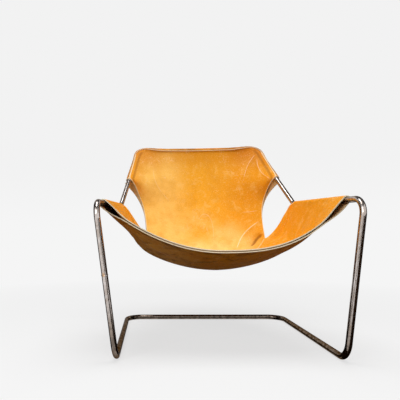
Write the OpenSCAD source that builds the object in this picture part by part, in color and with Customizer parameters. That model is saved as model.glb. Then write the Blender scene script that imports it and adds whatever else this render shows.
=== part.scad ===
// Cantilever lounge chair: one closed loop of bent round bar carries a sling of two leather panels.
// Millimetres, +Z up. The chair faces -Y, X = 0 is its plane of symmetry, +X is the sitter's left.
// The origin lies on the floor under the middle of the overall size.

/* [Steel bar] */
// Diameter of the round steel bar
bar_d = 18; // [16:0.5:21]
// Radius of the four bends at the floor, on the centre line
floor_bend_r = 58; // [40:1:66]
// Radius of the bends at the knees and the elbows, on the centre line
bend_r = 38; // [30:1:46]
// Radius of the two bends at the top of the back, on the centre line
crown_r = 46; // [36:1:60]
// Distance between the two floor runners, centre to centre
floor_w = 630; // [560:5:700]
// Length of the floor runners, corner to corner
floor_l = 621; // [560:1:680]
// How far the front legs lean forward of the floor corners
leg_lean = 92; // [70:1:110]
// Height of the arm rails at the front, to the centre line
arm_front_h = 440; // [400:1:480]
// Height of the arm rails at the elbows, to the centre line
arm_rear_h = 452; // [410:1:490]
// Distance between the arm rails at the front, centre to centre
arm_front_w = 727; // [660:1:790]
// Distance between the elbows, centre to centre
arm_rear_w = 651; // [590:1:700]
// Run of the arm rails from front corner to elbow
arm_run = 467; // [430:1:510]
// Run of the back rails from the elbow to the top bar
back_run = 260; // [230:1:290]
// Height of the top bar, to the centre line
top_h = 707; // [660:1:760]
// Length of the top bar, corner to corner
top_w = 526; // [470:1:580]
// Height of the butt weld that closes the loop, on the sitter's right leg
weld_h = 240; // [150:5:330]
// Width of the bead of that weld
weld_w = 4; // [3:0.5:6]
// How far the bead stands out of the bar
weld_rise = 0.7; // [0.4:0.1:1.2]

/* [Leather sling] */
// Thickness of each leather panel
ply_t = 3; // [2.2:0.1:3.6]
// Gap between the two panels where they hang together
ply_gap = 3; // [1.6:0.1:4]
// Clearance between the steel bar and the sleeves
sleeve_clear = 0.35; // [0.3:0.05:0.8]
// Distance from the front corner of the arm to the mouth of its sleeve
mouth_back = 98; // [80:1:120]
// How far the inner panel's mouth lies behind the outer panel's, on the sitter's right
right_mouth_step = 17; // [5:1:25]
// How far the inner panel's mouth lies in front of the outer panel's, on the sitter's left
left_mouth_lead = 8; // [0:1:15]
// Height of the middle of the front edge
front_h = 298.5; // [270:0.5:330]
// Height of the lowest point of the seat
belly_h = 231; // [200:1:260]
// Distance between the lower tips of the two side openings
tip_w = 453; // [420:1:490]
// How far those tips lie behind the elbows
tip_back = 55; // [40:1:70]
// Height of those tips
tip_h = 307; // [290:1:325]
// Share of the back rail that stays bare above the elbow
bare_share = 0.44; // [0.36:0.01:0.52]
// Depth of the flap that folds over the top bar to the front, at its middle
flap_h = 4; // [2:0.5:12]
// How far the leather stands off the bar at the two top corners
corner_puff = 4; // [0:0.5:6]
// Height of the soft folds that the pull of the openings and corners raises
fold_h = 4; // [0:0.5:6]
// How far the outer panel's edge stands out past the inner one, below the back sleeves
splay = 12; // [0:1:16]

/* [Seams] */
// Gap between the cut edges that meet along a seam
seam_gap = 0.6; // [0.4:0.1:1.5]
// Clearance between the flap and the panel that it folds over
lap_clear = 0.8; // [0.5:0.1:1.2]
// Length of one stitch
stitch_l = 5; // [3:0.5:7]
// Distance from one stitch to the next
stitch_pitch = 8; // [7.5:0.5:12]
// Thickness of the sewing thread
thread_d = 1.2; // [0.8:0.1:1.6]
// Clearance between a stitch and the leather it lies on
stitch_clear = 0.3; // [0.2:0.05:0.5]
// Distance from a cut edge to its row of stitches
hem_w = 5; // [3.5:0.5:6]
// Distance from the end of a seam to its first stitch
seam_start = 9; // [6:1:20]

/* [Hidden] */
$fn = 48;

bar_r = bar_d / 2;

// Rings of leather round the bar: their chords stay outside it by the sleeve's clearance
rings = 8;
widest_ring_step = 34;
sleeve_r = (bar_r + sleeve_clear) / cos(widest_ring_step / 2);
steel_colour = "dimgray";
inner_colour = "peru";
outer_colour = "sienna";
thread_colour = "wheat";

// Plain helpers
function lerp(a, b, t) = a + (b - a) * t;
function unit(v) = v / norm(v);
function total(v, i = 0) = i < len(v) - 1 ? v[i] + total(v, i + 1) : v[i];
function mirrored(p, side) = [side * p.x, p.y, p.z];
function square_to(v, axis) = unit(v - (v * axis) * axis);
function ease(t) = let (c = max(0, min(1, t))) c * c * (3 - 2 * c);
function within(a, b, shares) = [for (k = [0:2]) lerp(a[k], b[k], shares[k])];
function bow2(a, m, b, t) = lerp(lerp(a, m, t), lerp(m, b, t), t);
function bow3(a, m, n, b, t) = lerp(bow2(a, m, n, t), bow2(m, n, b, t), t);

// Corners of the loop on the sitter's left, before the origin is centred
knee_y = -floor_l / 2 - leg_lean;
elbow_y = knee_y + arm_run;
top_y = elbow_y + back_run;

// The loop's front-most point lies on the knee bend, its rear-most on the sleeve of the top bar
raw_foot = [floor_w / 2, -floor_l / 2, bar_r];
raw_knee = [arm_front_w / 2, knee_y, arm_front_h];
raw_elbow = [arm_rear_w / 2, elbow_y, arm_rear_h];
knee_in = unit(raw_knee - raw_foot);
knee_out = unit(raw_elbow - raw_knee);
knee_turn = acos(knee_in * knee_out);
knee_axis = unit(cross(knee_in, knee_out));
knee_hub = raw_knee + unit(knee_out - knee_in) * bend_r / cos(knee_turn / 2);
front_y = knee_hub.y - bend_r * sqrt(1 - knee_axis.y * knee_axis.y) - bar_r;
rear_y = top_y + sleeve_r + ply_t;
shift_y = -(front_y + rear_y) / 2;

rear = [floor_w / 2, floor_l / 2 + shift_y, bar_r];
foot = raw_foot + [0, shift_y, 0];
knee = raw_knee + [0, shift_y, 0];
elbow = raw_elbow + [0, shift_y, 0];
crown = [top_w / 2, top_y + shift_y, top_h];

half_loop = [rear, foot, knee, elbow, crown];
half_radii = [floor_bend_r, floor_bend_r, bend_r, bend_r, crown_r];
half_count = len(half_loop);
corners = concat(half_loop, [for (i = [half_count - 1:-1:0]) mirrored(half_loop[i], -1)]);
radii = concat(half_radii, [for (i = [half_count - 1:-1:0]) half_radii[i]]);
corner_count = len(corners);

// Bends: direction in and out of a corner, the angle it turns, and where its arc starts and ends
function corner_at(i) = corners[(i + corner_count) % corner_count];
function way_in(i) = unit(corner_at(i) - corner_at(i - 1));
function way_out(i) = unit(corner_at(i + 1) - corner_at(i));
function turn(i) = acos(way_in(i) * way_out(i));
function reach(i) = radii[i % corner_count] * tan(turn(i) / 2);
function arc_start(i) = corner_at(i) - way_in(i) * reach(i);
function arc_end(i) = corner_at(i) + way_out(i) * reach(i);
function arc_hub(i) = corner_at(i)
    + unit(way_out(i) - way_in(i)) * radii[i % corner_count] / cos(turn(i) / 2);

function placed(origin, x_axis, z_axis) = let (y_axis = cross(z_axis, x_axis)) [
    [x_axis.x, y_axis.x, z_axis.x, origin.x],
    [x_axis.y, y_axis.y, z_axis.y, origin.y],
    [x_axis.z, y_axis.z, z_axis.z, origin.z],
    [0, 0, 0, 1]
];
function any_square(v) = abs(v.z) < 0.7 ? unit(cross(v, [0, 0, 1])) : unit(cross(v, [1, 0, 0]));

module rod(a, b, d) {
    along = unit(b - a);
    multmatrix(placed(a, any_square(along), along))
        cylinder(d = d, h = norm(b - a));
}

// The straights are drawn down by a hair against the bends, and run a little way into them
drawn_down = 0.05;
run_in = 1;

module straight(i) {
    along = way_out(i) * run_in;
    rod(arc_end(i) - along, arc_start((i + 1) % corner_count) + along, bar_d - 2 * drawn_down);
}

module bend(i) {
    hub = arc_hub(i);
    multmatrix(placed(hub, unit(arc_start(i) - hub), unit(cross(way_in(i), way_out(i)))))
        rotate_extrude(angle = turn(i))
            translate([radii[i], 0])
                circle(d = bar_d);
}

// Bead of the butt weld: a ring round the straight of the sitter's right leg
leg_right = [mirrored(foot, -1), mirrored(knee, -1)];
weld_at = lerp(leg_right[0], leg_right[1], (weld_h - foot.z) / (knee.z - foot.z));

module weld_bead() {
    along = unit(leg_right[1] - leg_right[0]);
    multmatrix(placed(weld_at, any_square(along), along))
        rotate_extrude()
            translate([bar_r + weld_rise - weld_w / 2, 0])
                circle(d = weld_w);
}

module frame_bar() {
    color(steel_colour)
    union() {
        for (i = [0:corner_count - 1]) {
            bend(i);
            straight(i);
        }
        weld_bead();
    }
}

// Stations run along the sling: 0 at the front edge, arm_end where the arm sleeve stops at the elbow,
// tip at the lower tip of the side opening, rail_start where the back sleeve begins, top_end at the top.
arm_end = 3;
tip = 5;
rail_start = 8;
top_end = 10;
elbow_i = 3;
crown_i = 4;

mouth = knee + way_out(elbow_i - 1) * mouth_back;
sleeve_end = arc_start(elbow_i);
tip_at = [tip_w / 2, elbow.y + tip_back, tip_h];
rail_at = lerp(elbow, crown, bare_share);

// The arm side of the opening bows down to its tip; the back side bows out behind the rail.
// Each bow's places are shares of the way from its start to its end, in X, Y and Z.
arm_bow_low_shares = [0.42, 0.06, 0.08];
arm_bow_high_shares = [0.71, 0.29, 0.86];
back_bow_low_shares = [0.1, 1.14, 0.38];
back_bow_high_shares = [0.06, 2.26, 0.68];
arm_bow_low = within(sleeve_end, tip_at, arm_bow_low_shares);
arm_bow_high = within(sleeve_end, tip_at, arm_bow_high_shares);
back_bow_low = within(tip_at, rail_at, back_bow_low_shares);
back_bow_high = within(tip_at, rail_at, back_bow_high_shares);

// Share of the last two stations that runs straight before the crown bend begins
straight_share = 0.6;

function crown_arc(angle) = let (hub = arc_hub(crown_i), x0 = unit(arc_start(crown_i) - hub))
    hub + crown_r * (cos(angle) * x0 + sin(angle) * way_in(crown_i));
function rail_point(t) = t < straight_share
    ? lerp(rail_at, arc_start(crown_i), t / straight_share)
    : crown_arc(turn(crown_i) / 2 * (t - straight_share) / (1 - straight_share));

// Edge of the sling on the sitter's left, on the bar's centre line where there is a bar
function edge_point(s) = s <= arm_end ? lerp(mouth, sleeve_end, s / arm_end)
    : s <= tip ? bow3(sleeve_end, arm_bow_low, arm_bow_high, tip_at, (s - arm_end) / (tip - arm_end))
    : s <= rail_start ? bow3(tip_at, back_bow_low, back_bow_high, rail_at, (s - tip) / (rail_start - tip))
    : rail_point((s - rail_start) / (top_end - rail_start));

// Middle line of the sling at each whole station: how far back from the mouths to the top bar, and how high.
// The first two heights are shares of the rise to the front edge, the others of the rise to the top bar.
middle_back_shares = [0.003, 0.181, 0.375, 0.547, 0.623, 0.684, 0.782, 0.87, 0.924, 0.965, 1];
front_rise_shares = [1, 0.44];
back_rise_shares = [0.002, 0.017, 0.059, 0.112, 0.249, 0.461, 0.649, 0.841, 1];
middle = [
    for (i = [0:top_end]) [
        lerp(mouth.y, crown.y, middle_back_shares[i]),
        i < len(front_rise_shares)
            ? lerp(belly_h, front_h, front_rise_shares[i])
            : lerp(belly_h, top_h, back_rise_shares[i - len(front_rise_shares)])
    ]
];
function station_below(s) = max(0, min(top_end - 1, floor(s)));
function middle_knot(i) = i < 0 ? 2 * middle[0] - middle[1]
    : i > top_end ? 2 * middle[top_end] - middle[top_end - 1]
    : middle[i];
function through(a, b, c, d, t) = 0.5 * (2 * b + (c - a) * t + (2 * a - 5 * b + 4 * c - d) * t * t
    + (3 * b - a - 3 * c + d) * t * t * t);
function middle_point(s) = let (
    i = station_below(s),
    p = through(middle_knot(i - 1), middle_knot(i), middle_knot(i + 1), middle_knot(i + 2), s - i)
) [0, p[0], p[1]];

// How much of the rise to the edge is steep, close to the arm, at each whole station
steep_shares = [0, 0.3, 0.46, 0.46, 0.25, 0, 0, 0, 0, 0, 0];
gentle_power = 1.85;
steep_power = 8;
function steep(s) = let (i = station_below(s)) lerp(steep_shares[i], steep_shares[i + 1], ease(s - i));

// The hide hangs unevenly. The front edge sags more on the sitter's left, and on the sitter's right the arm
// pulls the underside straight, which leaves a soft crease along it.
right_front_power = 2.03;
left_front_power = 2.8;
front_stations = 2.5;
pull_slope = 2.4;
pull_soft_share = 0.1;
pull_stations = [0, 1.2, 3.5, 5];
function gentle(u, s) = pow(abs(u),
    lerp(u < 0 ? right_front_power : left_front_power, gentle_power, ease(s / front_stations)));
function hanging(u, s) = lerp(gentle(u, s), pow(abs(u), steep_power), steep(s));
function pull(s) = ease((s - pull_stations[0]) / (pull_stations[1] - pull_stations[0]))
    * ease((pull_stations[3] - s) / (pull_stations[3] - pull_stations[2]));
function pulled(u, s) = let (
    far = 1 - abs(u),
    straight = 1 - pull_slope * far,
    off = hanging(u, s) - straight
) straight + (off + norm([off, pull_soft_share * far])) / 2;
function rise(u, s) = u < 0 ? lerp(hanging(u, s), pulled(u, s), pull(s)) : hanging(u, s);

// Columns of a panel lie closer together towards its edges
half_columns = 7;
columns = 2 * half_columns;
function across(i) = sin(90 * (i - half_columns) / half_columns);

// Top bar, from one crown bend's middle to the other's; the last two columns of each side lie on the bend
bend_start = 90 * (half_columns - 2) / half_columns;
function top_point(u) = let (a = asin(abs(u))) a <= bend_start
    ? [arc_end(crown_i).x * u / sin(bend_start), crown.y, crown.z]
    : mirrored(crown_arc(turn(crown_i) * (1 - 0.5 * (a - bend_start) / (90 - bend_start))), sign(u));

// Away from the edge the sling follows a softened edge, so that the tip of an opening raises no crease
soft_stations = 1.5;
soft_weights = [1, 2, 3, 2, 1];
function soft_edge(u, s) = let (w = soft_stations * (1 - abs(u)) / 2)
    total([for (k = [-2:2]) soft_weights[k + 2] * edge_point(min(top_end, s + k * w))])
    / total(soft_weights);
function hung(u, s) = let (b = soft_edge(u, s), c = middle_point(s))
    [u * b.x, lerp(c.y, b.y, u * u), lerp(c.z, b.z, rise(u, s))];
top_blend = 1;
function topness(s) = ease((s - top_end + top_blend) / top_blend);
function flat_sling(u, s) = hung(u, s) + topness(s) * (top_point(u) - hung(u, top_end));

// Soft folds, alike on both sides: start and end of each, across and along, and half its width, in stations
fold_shares = [
    [0.92, 5.3, 0.55, 4.3, 0.75],
    [0.95, 2.1, 0.66, 2.7, 0.6],
    [0.93, 9.4, 0.6, 8.3, 0.7]
];
stations_across = 2.5;
calm_share = 0.15;
calm_stations = 0.8;
function fold_at(f, u, s) = let (
    p = [abs(u) * stations_across, s],
    a = [f[0] * stations_across, f[1]],
    b = [f[2] * stations_across, f[3]],
    t = max(0, min(1, (p - a) * (b - a) / ((b - a) * (b - a))))
) (1 - ease(norm(p - lerp(a, b, t)) / f[4]));
function fold(u, s) = fold_h * total([for (f = fold_shares) fold_at(f, u, s)]);
function edge_calm(u, s) = ease((1 - abs(u)) / calm_share)
    * ease(s / calm_stations) * ease((top_end - s) / calm_stations);

// Direction towards the sitter, square to a surface given by its places just before and after
step_u = 0.01;
step_s = 0.02;
function flat_normal(u, s) = let (
    u0 = max(-1, u - step_u), u1 = min(1, u + step_u),
    s0 = s - step_s, s1 = min(top_end, s + step_s)
) unit(cross(flat_sling(u1, s) - flat_sling(u0, s), flat_sling(u, s1) - flat_sling(u, s0)));
function sling(u, s) = flat_sling(u, s) + flat_normal(u, s) * fold(u, s) * edge_calm(u, s);

// Way that the bar runs under the edge, for the sleeves
function edge_way(s) = s <= arm_end ? way_out(elbow_i - 1)
    : s < rail_start + straight_share * (top_end - rail_start) ? way_in(crown_i)
    : unit(edge_point(min(top_end, s + step_s)) - edge_point(s - step_s));
function side_way(side, s) = mirrored(edge_way(s), side);
function top_way(u) = abs(u) >= 1 ? side_way(sign(u), top_end)
    : unit(top_point(max(-1, u - step_u)) - top_point(min(1, u + step_u)));

// Axes of a sleeve: its centre, the way out of the sling, and the way towards the sitter, as the leather
// lies a little way in from the bar
lead_share = 0.92;
lead_stations = 0.4;
function sleeve_axes(u, s, over_top) = let (
    way = over_top ? top_way(u) : side_way(sign(u), s),
    to_sitter = square_to(flat_normal(u * lead_share, min(s, top_end - lead_stations)), way),
    outward = cross(to_sitter, way),
    away = flat_sling(u, s) - flat_sling(0, min(s, rail_start))
) [flat_sling(u, s), outward * sign(outward * away), to_sitter];

// Seams: angles round the bar, from the way out of the sling (0) to the sitter's side (90)
function arc_angle(l, r) = l / r * 180 / PI;
arm_seam_angle = -60;
rail_seam_angle = 60;
crown_hem_angle = 75;
lap_angle = 35;
lap_rise_angle = 20;
lap_start = 8.7;
lap_stations = 0.5;
flap_start_share = 0.45;
half_gap_angle = arc_angle(seam_gap / 2, sleeve_r);
flap_angle = 90 + arc_angle(flap_h, sleeve_r);
function hem_angle(u) = lerp(crown_hem_angle, flap_angle, ease((1 - abs(u)) / flap_start_share));
function under_angle(u) = min(90, hem_angle(u)) - lap_angle;
function seam_angle(face, u, s) = s <= arm_end ? arm_seam_angle + face * half_gap_angle
    : lerp(rail_seam_angle + face * half_gap_angle, face > 0 ? under_angle(u) : hem_angle(u), topness(s));

// The outer panel is lifted where it folds over the end of the inner one
function lap(face, u, angle, s) = face > 0 || s <= arm_end ? 0
    : (ply_t + lap_clear) * ease((s - lap_start) / lap_stations)
    * ease((angle - under_angle(u) + lap_rise_angle) / lap_rise_angle);

// Half the distance between the panels' middles: apart at the bar, together where they hang
hung_half = (ply_gap + ply_t) / 2;
ramp_start_share = 0.78;
ramp_full_share = 0.97;
ramp_stations = 1;
top_ramp_power = 1.3;
function sleeved(s) = s <= arm_end || s >= rail_start ? 1
    : s < tip ? 1 - ease((s - arm_end) / ramp_stations)
    : 1 - ease((rail_start - s) / ramp_stations);
function nearness(u, s) = max(
    sleeved(s) * ease((abs(u) - ramp_start_share) / (ramp_full_share - ramp_start_share)),
    pow(max(0, s - top_end + top_blend) / top_blend, top_ramp_power)
);

// The outer panel's edge stands out towards the back rail, below the sleeve
splay_stations = [6.2, 7.6];
splay_start_share = 0.88;
function splayed(face, u, s) = face > 0 || s >= rail_start ? 0
    : sign(u) * splay * ease((s - splay_stations[0]) / (splay_stations[1] - splay_stations[0]))
    * ease((abs(u) - splay_start_share) / (1 - splay_start_share));

// Puff of the leather where it turns round the crown bends
puff_stations = 1.2;
puff_start_share = 0.5;
puff_full_share = 0.9;
function puff(u, s) = corner_puff * ease((s - top_end + puff_stations) / puff_stations)
    * ease((abs(u) - puff_start_share) / (puff_full_share - puff_start_share));

// A point round the bar, or past the sitter's side of it straight down the front
function ring_point(axes, r, angle) = angle <= 90
    ? axes[0] + r * (cos(angle) * axes[1] + sin(angle) * axes[2])
    : axes[0] + r * axes[2] - sleeve_r * (angle - 90) * PI / 180 * axes[1];
function sleeve_point(face, u, s, over_top, angle, stand_off) = ring_point(
    sleeve_axes(u, s, over_top),
    sleeve_r + puff(u, s) + lap(face, u, angle, s) + stand_off,
    angle
);
function hung_off(u, s) = lerp(hung_half, sleeve_r + ply_t / 2 + puff(u, s), nearness(u, s));
function hung_point(face, u, s, stand_off) = sling(u, s) + [splayed(face, u, s), 0, 0]
    + face * flat_normal(u, s) * (hung_off(u, s) + stand_off);

// Grid of one panel: columns across, rows along, and rings beyond both sides and the top
arm_rows = 6;
low_rows = 3;
high_rows = 5;
rail_rows = 5;
stations = [
    for (i = [0:arm_rows - 1]) i / arm_rows * arm_end,
    for (i = [0:low_rows - 1]) arm_end + i / low_rows * (tip - arm_end),
    for (i = [0:high_rows - 1]) tip + i / high_rows * (rail_start - tip),
    for (i = [0:rail_rows]) rail_start + i / rail_rows * (top_end - rail_start)
];
rows = len(stations) - 1;
rail_row = arm_rows + low_rows + high_rows;
grid_w = columns + 2 * rings + 1;
grid_h = rows + rings + 1;

// The inner panel's mouth lies off the outer one's where it meets the bar
function set_back(side) = (side < 0 ? right_mouth_step : -left_mouth_lead)
    / norm(sleeve_end - mouth) * arm_end;
cut_back_share = 0.25;
function cut_back(face, u, s) = face < 0 || s >= 1 ? s
    : s + (1 - s) * set_back(u) * ease((abs(u) - 1 + cut_back_share) / cut_back_share);

// Where column i and row j lie on the inside (skin 0) or the outside (skin 1) of the ply
function panel_point(face, skin, i, j) = let (
    u = across(max(0, min(columns, i))),
    s = cut_back(face, u, stations[min(rows, j)]),
    ring = max(-i, i - columns, j - rows, 0),
    angle = lerp(90 * face, seam_angle(face, u, s), ring / rings),
    on_bar = j >= rows || abs(u) == 1 && (s <= arm_end || s >= rail_start)
) on_bar
    ? sleeve_point(face, u, s, j >= rows, angle, skin * ply_t)
    : hung_point(face, u, s, (skin - 0.5) * ply_t);

// Cells of the grid that are leather; the rings past the top share their ends with those past the sides
function cell(i, j) = j >= 0 && i >= -rings && i < columns + rings
    && (i >= 0 && i < columns ? j < rows + rings : j < arm_rows || j >= rail_row && j < rows);
function place(i, j) = j > rows && i == columns ? place(columns + j - rows, rows)
    : j > rows && i == 0 ? place(rows - j, rows)
    : (i + rings) * grid_h + j;
function glued(i, j, di, dj) = j >= rows && di != 0 || j == rows - 1 && dj == 1 && (i < 0 || i >= columns);
function edge_ends(i, j, di, dj) = di == 1 ? [[i + 1, j], [i + 1, j + 1]]
    : di == -1 ? [[i, j + 1], [i, j]]
    : dj == 1 ? [[i + 1, j + 1], [i, j + 1]]
    : [[i, j], [i + 1, j]];

// One closed ply: both skins of each cell, and a rim wherever a cell has no neighbour
module panel(face) {
    skin_size = grid_w * grid_h;
    points = [
        for (skin = [0, 1]) for (i = [-rings:columns + rings]) for (j = [0:grid_h - 1])
            panel_point(face, skin, i, j)
    ];
    cells = [for (i = [-rings:columns + rings - 1]) for (j = [0:grid_h - 2]) if (cell(i, j)) [i, j]];
    skins = [
        for (c = cells) for (skin = [0, 1]) let (
            a = place(c[0], c[1]) + skin * skin_size,
            b = place(c[0] + 1, c[1]) + skin * skin_size,
            d = place(c[0] + 1, c[1] + 1) + skin * skin_size,
            e = place(c[0], c[1] + 1) + skin * skin_size,
            turned = (skin == 1) == (face > 0)
        ) each (turned ? [[a, e, d], [a, d, b]] : [[a, d, e], [a, b, d]])
    ];
    rims = [
        for (c = cells) for (n = [[1, 0], [-1, 0], [0, 1], [0, -1]])
            if (!cell(c[0] + n[0], c[1] + n[1]) && !glued(c[0], c[1], n[0], n[1])) let (
                ends = edge_ends(c[0], c[1], n[0], n[1]),
                a = place(ends[0][0], ends[0][1]),
                b = place(ends[1][0], ends[1][1]),
                a1 = a + skin_size,
                b1 = b + skin_size
            ) each (face > 0 ? [[a, a1, b1], [a, b1, b]] : [[a, b1, a1], [a, b, b1]])
    ];
    polyhedron(points = points, faces = concat(skins, rims));
}

module inner_panel() {
    color(inner_colour)
        panel(1);
}

module outer_panel() {
    color(outer_colour)
        panel(-1);
}

// Rows of stitches: short straight rods that lie on the outside of a sleeve
stitch_off = ply_t + stitch_clear + thread_d / 2;
stitch_sides = 16;
hem_angle_back = arc_angle(hem_w, sleeve_r + ply_t);

module stitch(a, b) {
    rod(a, b, thread_d, $fn = stitch_sides);
}

module side_stitches(face, side, s0, s1, seam) {
    run = norm(edge_point(s1) - edge_point(s0));
    count = floor((run - 2 * seam_start - stitch_l) / stitch_pitch) + 1;
    for (k = [0:count - 1]) {
        from = s0 + (s1 - s0) * (seam_start + k * stitch_pitch) / run;
        to = from + (s1 - s0) * stitch_l / run;
        stitch(
            sleeve_point(face, side, from, false, seam, stitch_off),
            sleeve_point(face, side, to, false, seam, stitch_off)
        );
    }
}

module arm_thread(side) {
    color(thread_colour)
        side_stitches(1, side, max(0, set_back(side)), arm_end, arm_seam_angle + hem_angle_back);
}

module back_thread(side) {
    color(thread_colour)
        side_stitches(-1, side, rail_start, rail_start + straight_share * (top_end - rail_start),
            rail_seam_angle - hem_angle_back);
}

// Stitches of the top hem follow the flap's cut edge, column by column, between the two crown bends
function hem_at(i) = let (u = across(i))
    sleeve_point(-1, u, top_end, true, hem_angle(u) - hem_angle_back, stitch_off);
function hem_point(x) = let (
    u = x / arc_end(crown_i).x * sin(bend_start),
    i = min(columns - 1, floor(half_columns * (1 + asin(u) / 90)))
) lerp(hem_at(i), hem_at(i + 1), (u - across(i)) / (across(i + 1) - across(i)));

module top_hem_thread() {
    count = floor((arc_end(crown_i).x - seam_start) / stitch_pitch);
    color(thread_colour)
        for (k = [-count:count - 1]) {
            from = k * stitch_pitch + (stitch_pitch - stitch_l) / 2;
            stitch(hem_point(from), hem_point(from + stitch_l));
        }
}

frame_bar();
inner_panel();
outer_panel();
arm_thread(1);  // left_arm_thread
arm_thread(-1);  // right_arm_thread
back_thread(1);  // left_back_thread
back_thread(-1);  // right_back_thread
top_hem_thread();
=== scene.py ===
import math

import bpy
import numpy as np
from mathutils import Matrix, Vector, kdtree


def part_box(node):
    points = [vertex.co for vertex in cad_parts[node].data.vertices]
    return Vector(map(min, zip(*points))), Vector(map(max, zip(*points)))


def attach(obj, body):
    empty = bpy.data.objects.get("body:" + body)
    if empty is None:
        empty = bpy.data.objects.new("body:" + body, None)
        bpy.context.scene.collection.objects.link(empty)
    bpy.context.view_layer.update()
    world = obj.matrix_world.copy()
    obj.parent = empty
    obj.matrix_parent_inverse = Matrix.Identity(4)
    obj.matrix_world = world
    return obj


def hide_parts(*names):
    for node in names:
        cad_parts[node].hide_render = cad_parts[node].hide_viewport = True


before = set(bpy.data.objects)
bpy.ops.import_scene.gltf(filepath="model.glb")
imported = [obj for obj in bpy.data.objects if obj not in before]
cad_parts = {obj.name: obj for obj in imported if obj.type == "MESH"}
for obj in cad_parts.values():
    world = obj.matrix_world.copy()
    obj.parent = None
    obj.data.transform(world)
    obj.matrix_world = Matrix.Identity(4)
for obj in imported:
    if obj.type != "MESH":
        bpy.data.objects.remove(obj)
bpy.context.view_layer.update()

bl_info = {
    "name": "Cantilever Lounge Chair",
    "version": (1, 0, 0),
    "blender": (4, 5, 0),
    "location": "View3D > Sidebar > Lounge Chair",
    "description": "Dresses the lounge chair: leather panels, seams, steel bar and studio",
    "category": "Add Mesh",
}

BAR_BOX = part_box("frame_bar")
MM = 0.001


def colour(code):
    """Linear colour of an sRGB hex value"""
    parts = [int(code[k:k + 2], 16) / 255 for k in (1, 3, 5)]
    return (*[p / 12.92 if p <= 0.04045 else ((p + 0.055) / 1.055) ** 2.4 for p in parts], 1)


# Sizes and colours that a user would change

class ChairSizes(bpy.types.PropertyGroup):
    """Sizes of the bent bar, to the centre line where nothing else is said"""

    bar_d: bpy.props.FloatProperty(
        name="Bar diameter", description="Diameter of the round steel bar",
        default=18 * MM, unit="LENGTH")
    bend_r: bpy.props.FloatProperty(
        name="Elbow radius", description="Radius of the bends at the knees and the elbows",
        default=38 * MM, unit="LENGTH")
    crown_r: bpy.props.FloatProperty(
        name="Crown radius", description="Radius of the two bends at the top of the back",
        default=46 * MM, unit="LENGTH")
    arm_front_h: bpy.props.FloatProperty(
        name="Arm height, front", description="Height of the arm rails at the front",
        default=440 * MM, unit="LENGTH")
    arm_rear_h: bpy.props.FloatProperty(
        name="Arm height, elbows", description="Height of the arm rails at the elbows",
        default=452 * MM, unit="LENGTH")
    arm_front_w: bpy.props.FloatProperty(
        name="Arm width, front", description="Distance between the arm rails at the front",
        default=727 * MM, unit="LENGTH")
    arm_rear_w: bpy.props.FloatProperty(
        name="Arm width, elbows", description="Distance between the elbows",
        default=651 * MM, unit="LENGTH")
    arm_run: bpy.props.FloatProperty(
        name="Arm run", description="Run of the arm rails from front corner to elbow",
        default=467 * MM, unit="LENGTH")
    back_run: bpy.props.FloatProperty(
        name="Back run", description="Run of the back rails from the elbow to the top bar",
        default=260 * MM, unit="LENGTH")
    top_w: bpy.props.FloatProperty(
        name="Top bar", description="Length of the top bar, corner to corner",
        default=526 * MM, unit="LENGTH")


class SlingSizes(bpy.types.PropertyGroup):
    """Sizes of the leather sling"""

    ply_t: bpy.props.FloatProperty(
        name="Leather", description="Thickness of each leather panel",
        default=3 * MM, unit="LENGTH")
    ply_gap: bpy.props.FloatProperty(
        name="Gap", description="Gap between the two panels where they hang together",
        default=3 * MM, unit="LENGTH")
    sleeve_clear: bpy.props.FloatProperty(
        name="Sleeve clearance", description="Clearance between the steel bar and the sleeves",
        default=0.35 * MM, unit="LENGTH")
    mouth_back: bpy.props.FloatProperty(
        name="Mouth", description="Distance from the front corner of the arm to the mouth of its sleeve",
        default=98 * MM, unit="LENGTH")
    right_mouth_step: bpy.props.FloatProperty(
        name="Mouth step, right",
        description="How far the inner panel's mouth lies behind the outer one's, on the sitter's right",
        default=17 * MM, unit="LENGTH")
    left_mouth_lead: bpy.props.FloatProperty(
        name="Mouth lead, left",
        description="How far the inner panel's mouth lies ahead of the outer one's, on the sitter's left",
        default=8 * MM, unit="LENGTH")
    front_h: bpy.props.FloatProperty(
        name="Front edge", description="Height of the middle of the front edge",
        default=298.5 * MM, unit="LENGTH")
    belly_h: bpy.props.FloatProperty(
        name="Belly", description="Height of the lowest point of the seat",
        default=231 * MM, unit="LENGTH")
    tip_w: bpy.props.FloatProperty(
        name="Tips apart", description="Distance between the lower tips of the two side openings",
        default=453 * MM, unit="LENGTH")
    tip_back: bpy.props.FloatProperty(
        name="Tips back", description="How far those tips lie behind the elbows",
        default=55 * MM, unit="LENGTH")
    tip_h: bpy.props.FloatProperty(
        name="Tips height", description="Height of those tips",
        default=307 * MM, unit="LENGTH")
    bare_share: bpy.props.FloatProperty(
        name="Bare rail", description="Share of the back rail that stays bare above the elbow",
        default=0.44, subtype="FACTOR")
    flap_h: bpy.props.FloatProperty(
        name="Flap", description="Depth of the flap over the top bar, at its middle",
        default=4 * MM, unit="LENGTH")
    corner_puff: bpy.props.FloatProperty(
        name="Corner puff", description="How far the leather stands off the bar at the two top corners",
        default=4 * MM, unit="LENGTH")
    fold_h: bpy.props.FloatProperty(
        name="Folds", description="Height of the soft folds that the pull of openings and corners raises",
        default=4 * MM, unit="LENGTH")
    splay: bpy.props.FloatProperty(
        name="Splay",
        description="How far the outer edge stands out past the inner one, below the back sleeves",
        default=12 * MM, unit="LENGTH")
    seam_gap: bpy.props.FloatProperty(
        name="Seam gap", description="Gap between the cut edges that meet along a seam",
        default=0.6 * MM, unit="LENGTH")
    lap_clear: bpy.props.FloatProperty(
        name="Lap clearance", description="Clearance between the flap and the panel it folds over",
        default=0.8 * MM, unit="LENGTH")


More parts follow.
